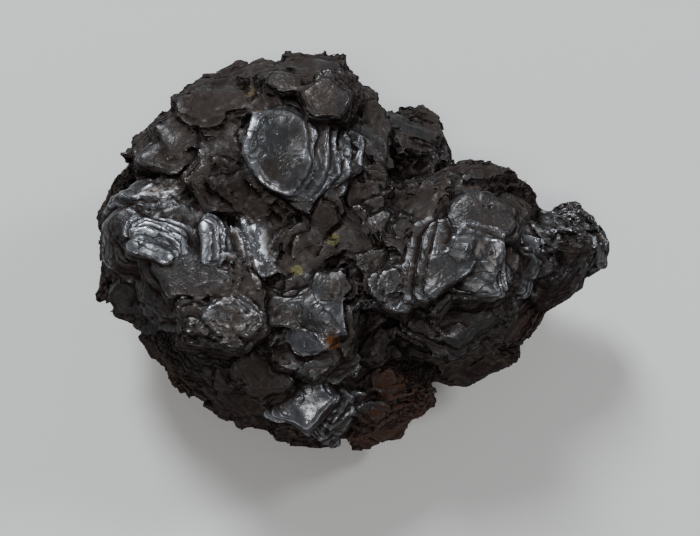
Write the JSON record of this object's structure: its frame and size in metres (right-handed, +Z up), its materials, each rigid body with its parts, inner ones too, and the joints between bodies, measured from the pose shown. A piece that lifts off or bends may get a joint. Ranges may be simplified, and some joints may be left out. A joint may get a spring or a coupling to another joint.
{
  "type": "prophecy stone",
  "caption": "Nodule of iron oxide in which blocky, ledged crystals have grown together in every direction, with a blunt snout at one end.",
  "frame": {"origin": "on the plane the stone rests on, under the middle of its bounding box", "axes": "+X towards the blunt snout, along the stone's longest side, +Y towards its high crown, +Z up, its shortest side"},
  "size_m": [0.0608, 0.0451, 0.0311],
  "materials": {
    "iron_oxide": "submetallic, polished on the crystal plates and dull in the hollows"
  },
  "bodies": {
    "root": {"prophecy_stone": "iron_oxide"}
  },
  "joints": []
}
